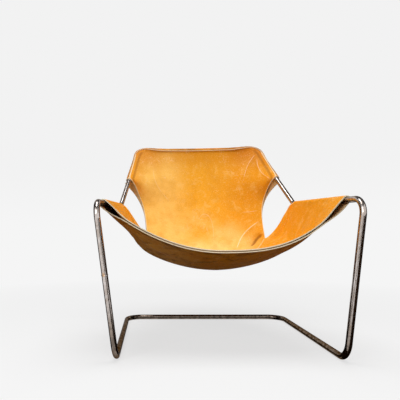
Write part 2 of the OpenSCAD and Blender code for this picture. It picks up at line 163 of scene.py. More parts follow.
class SeamSizes(bpy.types.PropertyGroup):
    """Sizes of the sewn seams"""

    stitch_l: bpy.props.FloatProperty(
        name="Stitch", description="Length of one stitch", default=5 * MM, unit="LENGTH")
    stitch_pitch: bpy.props.FloatProperty(
        name="Pitch", description="Distance from one stitch to the next", default=8 * MM, unit="LENGTH")
    thread_d: bpy.props.FloatProperty(
        name="Thread", description="Thickness of the sewing thread", default=1.2 * MM, unit="LENGTH")
    hem_w: bpy.props.FloatProperty(
        name="Hem", description="Distance from a cut edge to its row of stitches",
        default=5 * MM, unit="LENGTH")
    seam_start: bpy.props.FloatProperty(
        name="Start", description="Distance from the end of a seam to its first stitch",
        default=9 * MM, unit="LENGTH")


class ChairFinishes(bpy.types.PropertyGroup):
    """Main colours of the leather, the thread, the steel and the paper"""

    hide: bpy.props.FloatVectorProperty(
        name="Hide", description="Waxed grain, where it is neither rubbed nor soiled",
        default=colour("#F2A92A")[:3], subtype="COLOR", min=0, max=1)
    soil_and_shade: bpy.props.FloatVectorProperty(
        name="Soil", description="What use turns the sitter's side to, in patches",
        default=colour("#DF9420")[:3], subtype="COLOR", min=0, max=1)
    # Painted shade: the underside colour darkens the whole outer panel
    underside: bpy.props.FloatVectorProperty(
        name="Underside", description="What age turns the outer panel to",
        default=colour("#B86204")[:3], subtype="COLOR", min=0, max=1)
    flesh: bpy.props.FloatVectorProperty(
        name="Flesh side", description="Inside of the hide, between its fibres",
        default=colour("#E8C08A")[:3], subtype="COLOR", min=0, max=1)
    inner_edge: bpy.props.FloatVectorProperty(
        name="Inner cut edge", description="Raw edge of the inner panel",
        default=colour("#FFF2D2")[:3], subtype="COLOR", min=0, max=1)
    outer_edge: bpy.props.FloatVectorProperty(
        name="Outer cut edge", description="Raw edge of the outer panel",
        default=colour("#FBEBCB")[:3], subtype="COLOR", min=0, max=1)
    thread: bpy.props.FloatVectorProperty(
        name="Thread", description="Linen thread, where its twist catches the light",
        default=colour("#F2D8A8")[:3], subtype="COLOR", min=0, max=1)
    steel: bpy.props.FloatVectorProperty(
        name="Steel", description="Bare steel, free of its brown skin",
        default=colour("#DCD4D0")[:3], subtype="COLOR", min=0, max=1)
    paper: bpy.props.FloatVectorProperty(
        name="Paper", description="Studio floor and backdrop",
        default=colour("#F2F2F2")[:3], subtype="COLOR", min=0, max=1)


# Plain helpers on arrays of places

def unit(v):
    return v / np.linalg.norm(v, axis=-1, keepdims=True)


def lerp(a, b, t):
    return a + (b - a) * t


def ease(t):
    c = np.clip(t, 0, 1)
    return c * c * (3 - 2 * c)


def bow2(a, m, b, t):
    return lerp(lerp(a, m, t), lerp(m, b, t), t)


def bow3(a, m, n, b, t):
    return lerp(bow2(a, m, n, t), bow2(m, n, b, t), t)


def tall(t):
    """One column per place, so that a number for each place can scale its vector"""
    return np.asarray(t)[..., None]


def square_to(v, way):
    return unit(v - (v * way).sum(-1, keepdims=True) * way)


def mirrored(points, side):
    return points * np.stack([side, np.ones_like(side), np.ones_like(side)], -1)


def arc_degrees(length, radius):
    return math.degrees(length / radius)


def put(name, data):
    """A new object of the scene that holds the given data"""
    thing = bpy.data.objects.new(name, data)
    bpy.context.scene.collection.objects.link(thing)
    return thing


# Stations run along the sling: the front edge, the end of the arm sleeve, the lower tip of the
# side opening, the start of the back sleeve and the top bar
ARM_END, TIP, RAIL_START, TOP_END = 3.0, 5.0, 8.0, 10.0

# Shares of the way from a bow's start to its end, in X, Y and Z
ARM_BOW_LOW_SHARES = (0.42, 0.06, 0.08)
ARM_BOW_HIGH_SHARES = (0.71, 0.29, 0.86)
BACK_BOW_LOW_SHARES = (0.1, 1.14, 0.38)
BACK_BOW_HIGH_SHARES = (0.06, 2.26, 0.68)
STRAIGHT_SHARE = 0.6
BEND_START = math.radians(90 * 5 / 7)

# Middle line at each whole station: how far back from the mouths to the top bar, and how high
MIDDLE_BACK_SHARES = (0.003, 0.181, 0.375, 0.547, 0.623, 0.684, 0.782, 0.87, 0.924, 0.965, 1)
FRONT_RISE_SHARES = (1, 0.44)
BACK_RISE_SHARES = (0.002, 0.017, 0.059, 0.112, 0.249, 0.461, 0.649, 0.841, 1)
STEEP_SHARES = (0, 0.3, 0.46, 0.46, 0.25, 0, 0, 0, 0, 0, 0)
GENTLE_POWER, STEEP_POWER = 1.85, 8

# The hide hangs unevenly: the front edge sags more on the sitter's left, and on the sitter's right
# the arm pulls the underside straight, which leaves a soft crease along it
RIGHT_FRONT_POWER, LEFT_FRONT_POWER, FRONT_STATIONS = 2.03, 2.8, 2.5
PULL_SLOPE, PULL_SOFT_SHARE, PULL_STATIONS = 2.4, 0.1, (0, 1.2, 3.5, 5)

SPLAY_STATIONS, SPLAY_START_SHARE = (6.2, 7.6), 0.88
SOFT_STATIONS, SOFT_WEIGHTS = 1.5, (1, 2, 3, 2, 1)
RAMP_START_SHARE, RAMP_FULL_SHARE, TOP_RAMP_POWER = 0.78, 0.97, 1.3
PUFF_STATIONS, PUFF_START_SHARE, PUFF_FULL_SHARE = 1.2, 0.5, 0.9
LEAD_SHARE, LEAD_STATIONS = 0.92, 0.4
TURN_SHARE, TURN_STATIONS = 0.14, 0.7
STEP_U, STEP_S = 0.01, 0.02

# Angles round the bar, from the way out of the sling (0) to the sitter's side (90)
ARM_SEAM_ANGLE, RAIL_SEAM_ANGLE, CROWN_HEM_ANGLE = -60, 60, 75
LAP_RISE_ANGLE, LAP_ANGLE, FLAP_START_SHARE = 20, 35, 0.45
LAP_START, LAP_STATIONS = 8.7, 0.5
CUT_BACK_SHARE = 0.25
WIDEST_RING_STEP = 34

# Soft folds: start and end of each, across and along, and half its width in stations
FOLD_SHARES = (
    (0.92, 5.3, 0.55, 4.3, 0.75),
    (0.95, 2.1, 0.66, 2.7, 0.6),
    (0.93, 9.4, 0.6, 8.3, 0.7),
)
STATIONS_ACROSS, CALM_SHARE, CALM_STATIONS = 2.5, 0.15, 0.8


class Sling:
    """The hung leather between the rails, as a function of u across (-1 to 1) and s along (0 to 10)"""

    def __init__(self, chair, leather):
        self.chair, self.leather = chair, leather
        bar_r = chair.bar_d / 2
        self.sleeve_r = (bar_r + leather.sleeve_clear) / math.cos(math.radians(WIDEST_RING_STEP / 2))
        top_h = BAR_BOX[1].z - bar_r
        # The top bar carries the sling's rear-most point, so its place comes from the frame
        self.crown = np.array([chair.top_w / 2, BAR_BOX[1].y - bar_r, top_h])
        elbow_y = self.crown[1] - chair.back_run
        self.elbow = np.array([chair.arm_rear_w / 2, elbow_y, chair.arm_rear_h])
        self.knee = np.array([chair.arm_front_w / 2, elbow_y - chair.arm_run, chair.arm_front_h])
        self.arm_way = unit(self.elbow - self.knee)
        self.rail_way = unit(self.crown - self.elbow)
        self.mouth = self.knee + self.arm_way * leather.mouth_back
        elbow_turn = math.acos(self.arm_way @ self.rail_way)
        self.sleeve_end = self.elbow - self.arm_way * chair.bend_r * math.tan(elbow_turn / 2)
        inward = np.array([-1.0, 0, 0])
        self.crown_turn = math.acos(self.rail_way @ inward)
        reach = chair.crown_r * math.tan(self.crown_turn / 2)
        self.crown_start = self.crown - self.rail_way * reach
        self.crown_end = self.crown + inward * reach
        self.crown_hub = self.crown + (
            unit(inward - self.rail_way) * chair.crown_r / math.cos(self.crown_turn / 2))
        self.tip_at = np.array([leather.tip_w / 2, elbow_y + leather.tip_back, leather.tip_h])
        self.rail_at = lerp(self.elbow, self.crown, leather.bare_share)
        self.middle = np.array([
            (lerp(self.mouth[1], self.crown[1], back), lerp(leather.belly_h, high, share))
            for back, high, share in zip(
                MIDDLE_BACK_SHARES,
                [leather.front_h] * len(FRONT_RISE_SHARES) + [top_h] * len(BACK_RISE_SHARES),
                FRONT_RISE_SHARES + BACK_RISE_SHARES)
        ])
        self.set_back = {
            side: step / np.linalg.norm(self.sleeve_end - self.mouth) * ARM_END
            for side, step in ((-1, leather.right_mouth_step), (1, -leather.left_mouth_lead))}

    def crown_arc(self, angle):
        x_axis = unit(self.crown_start - self.crown_hub)
        return self.crown_hub + self.chair.crown_r * (
            tall(np.cos(angle)) * x_axis + tall(np.sin(angle)) * self.rail_way)

    def edge(self, s):
        """Edge on the sitter's left, on the bar's centre line where there is a bar"""
        s = np.minimum(s, TOP_END)
        arm_low = self.sleeve_end + (self.tip_at - self.sleeve_end) * ARM_BOW_LOW_SHARES
        arm_high = self.sleeve_end + (self.tip_at - self.sleeve_end) * ARM_BOW_HIGH_SHARES
        low_bow = self.tip_at + (self.rail_at - self.tip_at) * BACK_BOW_LOW_SHARES
        high_bow = self.tip_at + (self.rail_at - self.tip_at) * BACK_BOW_HIGH_SHARES
        along_rail = (s - RAIL_START) / (TOP_END - RAIL_START)
        bend = self.crown_turn / 2 * (along_rail - STRAIGHT_SHARE) / (1 - STRAIGHT_SHARE)
        spans = [
            (s <= ARM_END, lerp(self.mouth, self.sleeve_end, tall(s / ARM_END))),
            (s <= TIP,
             bow3(self.sleeve_end, arm_low, arm_high, self.tip_at, tall((s - ARM_END) / (TIP - ARM_END)))),
            (s <= RAIL_START,
             bow3(self.tip_at, low_bow, high_bow, self.rail_at, tall((s - TIP) / (RAIL_START - TIP)))),
            (along_rail < STRAIGHT_SHARE,
             lerp(self.rail_at, self.crown_start, tall(along_rail / STRAIGHT_SHARE))),
            (s <= TOP_END, self.crown_arc(bend)),
        ]
        return np.select([tall(here) for here, _ in spans], [places for _, places in spans])

    def middle_line(self, s):
        """Smooth curve through the middle line's knots"""
        before, after = 2 * self.middle[0] - self.middle[1], 2 * self.middle[-1] - self.middle[-2]
        knots = np.vstack([before, self.middle, after])
        i = np.clip(np.floor(s), 0, TOP_END - 1).astype(int)
        t = tall(s - i)
        a, b, c, d = (knots[i + k] for k in range(4))
        return 0.5 * (
            2 * b + (c - a) * t + (2 * a - 5 * b + 4 * c - d) * t**2 + (3 * b - a - 3 * c + d) * t**3)

    def rise(self, u, s):
        i = np.clip(np.floor(s), 0, TOP_END - 1).astype(int)
        shares = np.array(STEEP_SHARES)
        steep = lerp(shares[i], shares[i + 1], ease(s - i))
        front_power = np.where(u < 0, RIGHT_FRONT_POWER, LEFT_FRONT_POWER)
        gentle = np.abs(u) ** lerp(front_power, GENTLE_POWER, ease(s / FRONT_STATIONS))
        hanging = lerp(gentle, np.abs(u) ** STEEP_POWER, steep)
        far = 1 - np.abs(u)
        straight = 1 - PULL_SLOPE * far
        pulled = (hanging + straight + np.hypot(hanging - straight, PULL_SOFT_SHARE * far)) / 2
        start, full, last, end = PULL_STATIONS
        pull = ease((s - start) / (full - start)) * ease((end - s) / (end - last))
        return np.where(u < 0, lerp(hanging, pulled, pull), hanging)

    def top(self, u):
        """Top bar, from one crown bend's middle to the other's"""
        angle = np.arcsin(np.clip(np.abs(u), 0, 1))
        straight = np.stack([
            self.crown_end[0] * u / math.sin(BEND_START),
            np.full_like(u, self.crown[1]), np.full_like(u, self.crown[2])], -1)
        bend = (angle - BEND_START) / (math.pi / 2 - BEND_START)
        bent = mirrored(self.crown_arc(self.crown_turn * (1 - bend / 2)), np.sign(u))
        return np.where(tall(angle <= BEND_START), straight, bent)

    def soft_edge(self, u, s):
        """The edge as it is felt away from it, so that the tip of an opening raises no crease"""
        window = SOFT_STATIONS * (1 - np.abs(u)) / 2
        taps = range(-2, 3)
        return sum(w * self.edge(s + k * window) for k, w in zip(taps, SOFT_WEIGHTS)) / sum(SOFT_WEIGHTS)

    def hung(self, u, s):
        b, c = self.soft_edge(u, s), self.middle_line(s)
        return np.stack([
            u * b[..., 0], lerp(c[..., 0], b[..., 1], u * u),
            lerp(c[..., 1], b[..., 2], self.rise(u, s))], -1)

    def flat(self, u, s):
        u, s = np.broadcast_arrays(np.asarray(u, float), np.asarray(s, float))
        to_top = self.top(u) - self.hung(u, np.full_like(s, TOP_END))
        return self.hung(u, s) + tall(ease(s - TOP_END + 1)) * to_top

    def normal(self, u, s):
        """Direction towards the sitter"""
        u0, u1 = np.maximum(-1, u - STEP_U), np.minimum(1, u + STEP_U)
        s0, s1 = s - STEP_S, np.minimum(TOP_END, s + STEP_S)
        return unit(np.cross(self.flat(u1, s) - self.flat(u0, s), self.flat(u, s1) - self.flat(u, s0)))

    def folds(self, u, s):
        raised = np.zeros(np.broadcast(u, s).shape)
        across = np.abs(u) * STATIONS_ACROSS
        for start_u, start_s, end_u, end_s, half in FOLD_SHARES:
            a = np.array([start_u * STATIONS_ACROSS, start_s])
            b = np.array([end_u * STATIONS_ACROSS, end_s])
            way = b - a
            t = np.clip(((across - a[0]) * way[0] + (s - a[1]) * way[1]) / (way @ way), 0, 1)
            far = np.hypot(across - a[0] - t * way[0], s - a[1] - t * way[1])
            raised += 1 - ease(far / half)
        calm = (ease((1 - np.abs(u)) / CALM_SHARE) * ease(s / CALM_STATIONS)
                * ease((TOP_END - s) / CALM_STATIONS))
        return self.leather.fold_h * raised * calm

    # Sleeves

    def edge_way(self, s):
        bend = unit(self.edge(np.minimum(TOP_END, s + STEP_S)) - self.edge(s - STEP_S))
        on_rail = s < RAIL_START + STRAIGHT_SHARE * (TOP_END - RAIL_START)
        return np.select(
            [tall(s <= ARM_END), tall(on_rail)],
            [np.broadcast_to(self.arm_way, bend.shape), np.broadcast_to(self.rail_way, bend.shape)], bend)

    def top_way(self, u):
        side = mirrored(self.edge_way(np.full_like(u, TOP_END)), np.sign(u))
        along = unit(self.top(np.maximum(-1, u - STEP_U)) - self.top(np.minimum(1, u + STEP_U)))
        return np.where(tall(np.abs(u) >= 1), side, along)

    def sleeve_axes(self, u, s, over_top):
        """Centre of a sleeve, the way out of the sling, and the way towards the sitter"""
        way = self.top_way(u) if over_top else mirrored(self.edge_way(s), np.sign(u))
        to_sitter = square_to(self.normal(u * LEAD_SHARE, np.minimum(s, TOP_END - LEAD_STATIONS)), way)
        outward = np.cross(to_sitter, way)
        centre = self.flat(u, s)
        away = centre - self.flat(np.zeros_like(u), np.minimum(s, RAIL_START))
        return centre, outward * np.sign((outward * away).sum(-1, keepdims=True)), to_sitter

    def puff(self, u, s):
        return (self.leather.corner_puff * ease((s - TOP_END + PUFF_STATIONS) / PUFF_STATIONS)
                * ease((np.abs(u) - PUFF_START_SHARE) / (PUFF_FULL_SHARE - PUFF_START_SHARE)))

    def topness(self, s):
        return ease(s - TOP_END + 1)

    def sleeved(self, s):
        """1 beside a sleeve, 0 at the tip of an opening"""
        return np.where(
            (s <= ARM_END) | (s >= RAIL_START), 1,
            np.where(s < TIP, 1 - ease(s - ARM_END), ease(s - RAIL_START + 1)))

    def hem_angle(self, u):
        flap = 90 + arc_degrees(self.leather.flap_h, self.sleeve_r)
        return lerp(CROWN_HEM_ANGLE, flap, ease((1 - np.abs(u)) / FLAP_START_SHARE))

    def under_angle(self, u):
        return np.minimum(90, self.hem_angle(u)) - LAP_ANGLE

    def seam_angle(self, face, u, s):
        half_gap = arc_degrees(self.leather.seam_gap / 2, self.sleeve_r)
        at_top = self.under_angle(u) if face > 0 else self.hem_angle(u)
        back = lerp(RAIL_SEAM_ANGLE + face * half_gap, at_top, self.topness(s))
        return np.where(s <= ARM_END, ARM_SEAM_ANGLE + face * half_gap, back)

    def lap(self, face, u, angle, s):
        """How far the outer panel is lifted where it folds over the end of the inner one"""
        if face > 0:
            return np.zeros_like(s)
        lift = (self.leather.ply_t + self.leather.lap_clear) * ease((s - LAP_START) / LAP_STATIONS)
        return np.where(
            s <= ARM_END, 0, lift * ease((angle - self.under_angle(u) + LAP_RISE_ANGLE) / LAP_RISE_ANGLE))

    def sleeve_point(self, face, u, s, over_top, angle, stand_off):
        """A place round the bar, or past the sitter's side of it straight down the front"""
        centre, outward, to_sitter = self.sleeve_axes(u, s, over_top)
        r = tall(self.sleeve_r + self.puff(u, s) + self.lap(face, u, angle, s) + stand_off)
        turn = tall(np.radians(np.minimum(angle, 90)))
        past = tall(np.radians(np.maximum(angle - 90, 0)))
        round_bar = r * (np.cos(turn) * outward + np.sin(turn) * to_sitter)
        return centre + round_bar - self.sleeve_r * past * outward

    def skin_normal(self, u, s):
        """Direction towards the sitter, turned square with the bar as the leather nears it"""
        side = np.where(u < 0, -1.0, 1.0)
        lead_s = np.minimum(s, TOP_END - LEAD_STATIONS)
        arm_way = np.broadcast_to(self.arm_way, (*np.shape(s), 3))
        way = mirrored(np.where(tall(s < TIP), arm_way, self.edge_way(np.maximum(s, RAIL_START))), side)
        beside = square_to(self.normal(side * LEAD_SHARE, lead_s), way)
        below = square_to(self.normal(u * LEAD_SHARE, lead_s), self.top_way(u))
        on_top = ease((s - TOP_END + TURN_STATIONS) / TURN_STATIONS)
        turned = self.sleeved(s) * ease((np.abs(u) - 1 + TURN_SHARE) / TURN_SHARE)
        turned = np.where(np.abs(u) >= 1, self.sleeved(s), turned * (1 - on_top))
        return unit(lerp(lerp(self.normal(u, s), below, tall(on_top)), beside, tall(turned)))

    def nearness(self, u, s):
        """How fully the two panels are spread by the bar: 1 on it, 0 where they hang together"""
        side = ease((np.abs(u) - RAMP_START_SHARE) / (RAMP_FULL_SHARE - RAMP_START_SHARE))
        return np.maximum(self.sleeved(s) * side, np.maximum(0, s - TOP_END + 1) ** TOP_RAMP_POWER)

    def splayed(self, face, u, s):
        """The outer panel's edge stands out towards the back rail, below the sleeve"""
        if face > 0:
            return np.zeros((*np.shape(s), 3))
        start, full = SPLAY_STATIONS
        share = np.where(s < RAIL_START, ease((s - start) / (full - start)), 0)
        share = share * ease((np.abs(u) - SPLAY_START_SHARE) / (1 - SPLAY_START_SHARE))
        return tall(self.leather.splay * share * np.sign(u)) * np.array([1.0, 0, 0])

    def hung_point(self, face, u, s, stand_off):
        leather = self.leather
        apart = lerp(
            (leather.ply_gap + leather.ply_t) / 2, self.sleeve_r + leather.ply_t / 2 + self.puff(u, s),
            self.nearness(u, s))
        off = self.folds(u, s) + face * (apart + stand_off)
        return self.flat(u, s) + self.skin_normal(u, s) * tall(off) + self.splayed(face, u, s)

    def cut_back(self, face, u, s):
        """The inner panel's mouth lies off the outer one's where it meets the bar"""
        if face < 0:
            return s
        step = np.where(u < 0, self.set_back[-1], self.set_back[1])
        nearby = ease((np.abs(u) - 1 + CUT_BACK_SHARE) / CUT_BACK_SHARE)
        return np.where(s >= 1, s, s + (1 - s) * step * nearby)


# Leather panels as meshes

ROWS_PER_STATION = 22
COLUMNS = 120
COLUMN_CROWDING = 0.6  # 0 spreads the columns evenly, 1 crowds them to the rails as a sine does
RINGS = 14
GRAIN, FLESH, CUT_EDGE = 0, 1, 2
SHARP_ANGLE = math.radians(40)


def grid_cells(index):
    return np.stack([index[:-1, :-1], index[:-1, 1:], index[1:, 1:], index[1:, :-1]], -1).reshape(-1, 4)


def rim_edges(cells):
    """Edges that only one cell has, in that cell's own direction"""
    edges = np.concatenate([np.stack([cells[:, k], cells[:, (k + 1) % 4]], 1) for k in range(4)])
    key = edges[:, 0] * (edges.max() + 1) + edges[:, 1]
    back = edges[:, 1] * (edges.max() + 1) + edges[:, 0]
    return edges[~np.isin(key, back)]


def ply_shell(sling, face):
    """Both skins of one ply and the cells that they share: the hung part, what turns round the rails,
    and what turns over the top bar, sewn together by their indices"""
    ply_t = sling.leather.ply_t
    even = np.linspace(-1, 1, COLUMNS + 1)
    u = lerp(even, np.sin(even * math.pi / 2), COLUMN_CROWDING)
    s = np.linspace(0, TOP_END, int(TOP_END * ROWS_PER_STATION) + 1)
    grid_u, grid_s = np.meshgrid(u, s)
    grid_s = sling.cut_back(face, grid_u, grid_s)
    share = np.linspace(0, 1, RINGS + 1)
    body = np.arange(grid_u.size).reshape(grid_u.shape)
    skins = [sling.hung_point(face, grid_u, grid_s, off * ply_t).reshape(-1, 3) for off in (-0.5, 0.5)]
    grids = [body]

    def turn_round(index, across, along, over_top):
        """Places a strip of rings, whose first line is the body's own edge"""
        angle = lerp(90 * face, sling.seam_angle(face, across, along), share)
        fresh = index < 0
        index[fresh] = len(skins[0]) + np.arange(fresh.sum())
        for k, off in enumerate((0, ply_t)):
            placed = sling.sleeve_point(face, across, along, over_top, angle, off)
            skins[k] = np.vstack([skins[k], placed[fresh]])
            skins[k][index[~fresh]] = placed[~fresh]
        return index

    ends = {}
    for side, column in ((-1, 0), (1, COLUMNS)):
        for rows in (s <= ARM_END, s >= RAIL_START):
            index = np.full((rows.sum(), RINGS + 1), -1)
            index[:, 0] = body[rows, column]
            along = np.repeat(grid_s[rows, column][:, None], RINGS + 1, 1)
            index = turn_round(index, np.full_like(along, side), along, False)
            ends[side] = index[-1]
            grids.append(index if side > 0 else index[:, ::-1])
    index = np.full((len(u), RINGS + 1), -1)
    index[0], index[-1] = ends[-1], ends[1]
    index[:, 0] = body[-1]
    across = np.repeat(u[:, None], RINGS + 1, 1)
    grids.append(turn_round(index, across, np.full_like(across, TOP_END), True).T)
    return skins, np.vstack([grid_cells(grid) for grid in grids])


# Creases of the hide: places along each, across and along the sling; half its width and its height towards
# the sitter in mm; and the tone of its line on the inner and the outer panel, from painted shade (-1) to
# pale (1)
CREASES = (
    (((0.97, 6.02), (0.72, 5.74), (0.575, 5.33), (0.44, 4.5)), 7, 3, 0.9, 0),
    (((0.97, 5.45), (0.865, 5.28), (0.76, 4.93), (0.57, 3.91)), 12, -8, -0.8, 0),
    (((0.8, 4.1), (0.745, 3.83), (0.66, 3.56), (0.52, 3.2)), 7, 2.5, 0.6, 0),
    (((0.93, 9.2), (0.755, 8.81), (0.635, 8.2)), 8, 2, 0.5, 0),
    (((0.915, 9.0), (0.875, 8.4), (0.96, 7.95)), 7, 2, 0.5, 0),
    (((-0.12, 6.3), (0.045, 6.75), (0.15, 6.39), (0.13, 5.6)), 6, 0.6, 0.25, 0),
    (((0.66, 6.62), (0.93, 6.5)), 5, 0.8, 0.35, 0),
    (((-0.72, 8.8), (-0.635, 7.89), (-0.5, 7.2)), 9, 1, 0.3, 0),
    (((-0.82, 0.3), (-0.775, 0.8), (-0.735, 1.9)), 9, -2.5, 0, 0.35),
    (((-0.79, 0.35), (-0.645, 0.74), (-0.48, 0.95)), 9, -2, 0, 0.25),
    (((0.965, 7.8), (0.962, 8.8), (0.955, 9.8)), 4, -1.5, -0.5, 0),
    (((-0.965, 7.8), (-0.962, 8.8), (-0.955, 9.8)), 4, -1.5, -0.5, 0),
)
CREASE_STEPS, CREASE_END_SHARE = 40, 0.15
CREASE_REACH = 5  # in half widths of the crease
LINE_NEAR, LINE_FAR = 8 * MM, 12 * MM
NO_LINE = 1000 * MM
EDGE_NEAR, MARKS_PER_EDGE = 40 * MM, 8


def crease_line(sling, points):
    """A smooth line through a crease's places, and the ways towards the sitter and beside it"""
    at, steps = np.linspace(0, 1, len(points)), np.linspace(0, 1, CREASE_STEPS)
    u, s = (np.polyval(np.polyfit(at, part, len(points) - 1), steps) for part in zip(*points))
    line = sling.flat(u, s)
    up = sling.normal(u, s)
    return line, up, np.cross(unit(np.gradient(line, axis=0)), up)


def creased(sling, face, places):
    """How creases move each place, how far it is beside the nearest line, and that line's tone"""
    moved, tone = np.zeros_like(places), np.zeros(len(places))
    off, nearest = np.full(len(places), NO_LINE), np.full(len(places), NO_LINE)
    for points, half_mm, height_mm, *tones in CREASES:
        line, up, beside = crease_line(sling, points)
        k = np.linalg.norm(places[:, None] - line[None], axis=2).argmin(1)
        to_place = places - line[k]
        level = to_place - up[k] * (to_place * up[k]).sum(1, keepdims=True)
        far = np.linalg.norm(level, axis=1)
        step = np.minimum(k, CREASE_STEPS - 1 - k) / (CREASE_STEPS * CREASE_END_SHARE)
        close = np.linalg.norm(to_place, axis=1) < CREASE_REACH * half_mm * MM
        fade = ease(step) * close
        moved += up[k] * tall(height_mm * MM * np.exp(-(far / (half_mm * MM)) ** 2) * fade)
        shown = tones[0 if face > 0 else 1]
        if shown:
            better = close & (far < nearest)
            nearest[better] = far[better]
            off[better] = (level * beside[k]).sum(1)[better]
            tone[better] = (shown * fade * ease((LINE_FAR - far) / (LINE_FAR - LINE_NEAR)))[better]
    return moved, off, tone


def edge_distance(places, rim):
    """How far each place lies from the ply's cut edge, as far as it shows"""
    steps = np.linspace(0, 1, MARKS_PER_EDGE, endpoint=False)[:, None, None]
    marks = lerp(places[rim[:, 0]], places[rim[:, 1]], steps).reshape(-1, 3)
    tree = kdtree.KDTree(len(marks))
    for k, mark in enumerate(marks):
        tree.insert(mark, k)
    tree.balance()
    return np.array([min(EDGE_NEAR, tree.find(place)[2]) for place in places])


def leather_panel(name, sling, face, materials):
    """One ply as a closed shell: grain outside, flesh inside and a raw cut edge round it"""
    (inside, outside), cells = ply_shell(sling, face)
    if face < 0:
        cells = cells[:, ::-1]
    rim = rim_edges(cells)
    over = len(outside)
    moved, off, tone = creased(sling, face, outside)
    outside, inside = outside + moved, inside + moved
    edge = edge_distance(outside, rim)
    faces = np.vstack([
        cells, cells[:, ::-1] + over,
        np.stack([rim[:, 1], rim[:, 0], rim[:, 0] + over, rim[:, 1] + over], 1)])
    mesh = bpy.data.meshes.new(name)
    mesh.from_pydata(np.vstack([outside, inside]).tolist(), [], faces.tolist())
    finish = np.repeat([GRAIN, FLESH, CUT_EDGE], [len(cells), len(cells), len(rim)])
    mesh.polygons.foreach_set("material_index", finish.astype(np.int32))
    for word, values in (("edge_off", edge), ("crease_off", off), ("crease_tone", tone)):
        kept = mesh.attributes.new(word, "FLOAT", "POINT")
        kept.data.foreach_set("value", np.tile(values, 2).astype(np.float32))
    mesh.shade_smooth()
    mesh.set_sharp_from_angle(angle=SHARP_ANGLE)
    for material in materials:
        mesh.materials.append(material)
    return put(name, mesh)


def plain_mesh(name, source):
    """What an object's modifiers make of it, as a mesh of its own"""
    bpy.context.view_layer.update()
    evaluated = source.evaluated_get(bpy.context.evaluated_depsgraph_get())
    mesh = bpy.data.meshes.new_from_object(evaluated)
    bpy.data.objects.remove(source)
    mesh.name = name
    return put(name, mesh)


# Materials

def add(tree, kind, inputs=None, **settings):
    """A node with its settings, and its inputs set or linked"""
    node = tree.nodes.new(kind)
    for name, value in settings.items():
        setattr(node, name, value)
    for name, value in (inputs or {}).items():
        socket = node.inputs[name]
        if isinstance(value, bpy.types.NodeSocket):
            tree.links.new(value, socket)
        else:
            socket.default_value = value
    return node


def new_material(name):
    material = bpy.data.materials.new(name)
    material.use_nodes = True
    material.node_tree.nodes.clear()
    return material, material.node_tree


def finish_material(tree, shader_inputs):
    shader = add(tree, "ShaderNodeBsdfPrincipled", shader_inputs)
    add(tree, "ShaderNodeOutputMaterial", {"Surface": shader.outputs["BSDF"]})


def patches(tree, place, size, start, full, detail=3.0, warp=0.0):
    """How far each place lies in patches of about the given size in metres"""
    cloud = add(tree, "ShaderNodeTexNoise", {
        "Vector": place, "Scale": 1 / size, "Detail": detail, "Roughness": 0.58, "Distortion": warp})
    return add(tree, "ShaderNodeMapRange", {
        "Value": cloud.outputs["Fac"], "From Min": start, "From Max": full},
        interpolation_type="SMOOTHSTEP").outputs["Result"]


def band(tree, value, middle, near, far):
    """1 where the value lies within near of the middle, easing to 0 at far from it"""
    off = add(tree, "ShaderNodeMath", {0: value, 1: middle}, operation="SUBTRACT").outputs[0]
    off = add(tree, "ShaderNodeMath", {0: off}, operation="ABSOLUTE").outputs[0]
    return add(tree, "ShaderNodeMapRange", {
        "Value": off, "From Min": near, "From Max": far, "To Min": 1.0, "To Max": 0.0},
        interpolation_type="SMOOTHSTEP").outputs["Result"]


def shade(tone):
    """A hex value, or a colour that the user set, as a shader takes it"""
    return colour(tone) if isinstance(tone, str) else (*tone, 1)


def layered(tree, base, *layers):
    """A base colour with others over it, each by its shares and its strength"""
    tone = shade(base)
    for code, strength, *shares in layers:
        for share in shares:
            strength = add(tree, "ShaderNodeMath", {0: share, 1: strength}, operation="MULTIPLY").outputs[0]
        tone = add(tree, "ShaderNodeMix", {
            0: strength, 6: tone, 7: shade(code)}, data_type="RGBA").outputs[2]
    return tone


# Places that a painted sheen and a stain at the weld are measured from
SEAT_MIDDLE = (0.0, 0.1, 0.27)
WELD_AT = (-0.346, -0.342, 0.24)


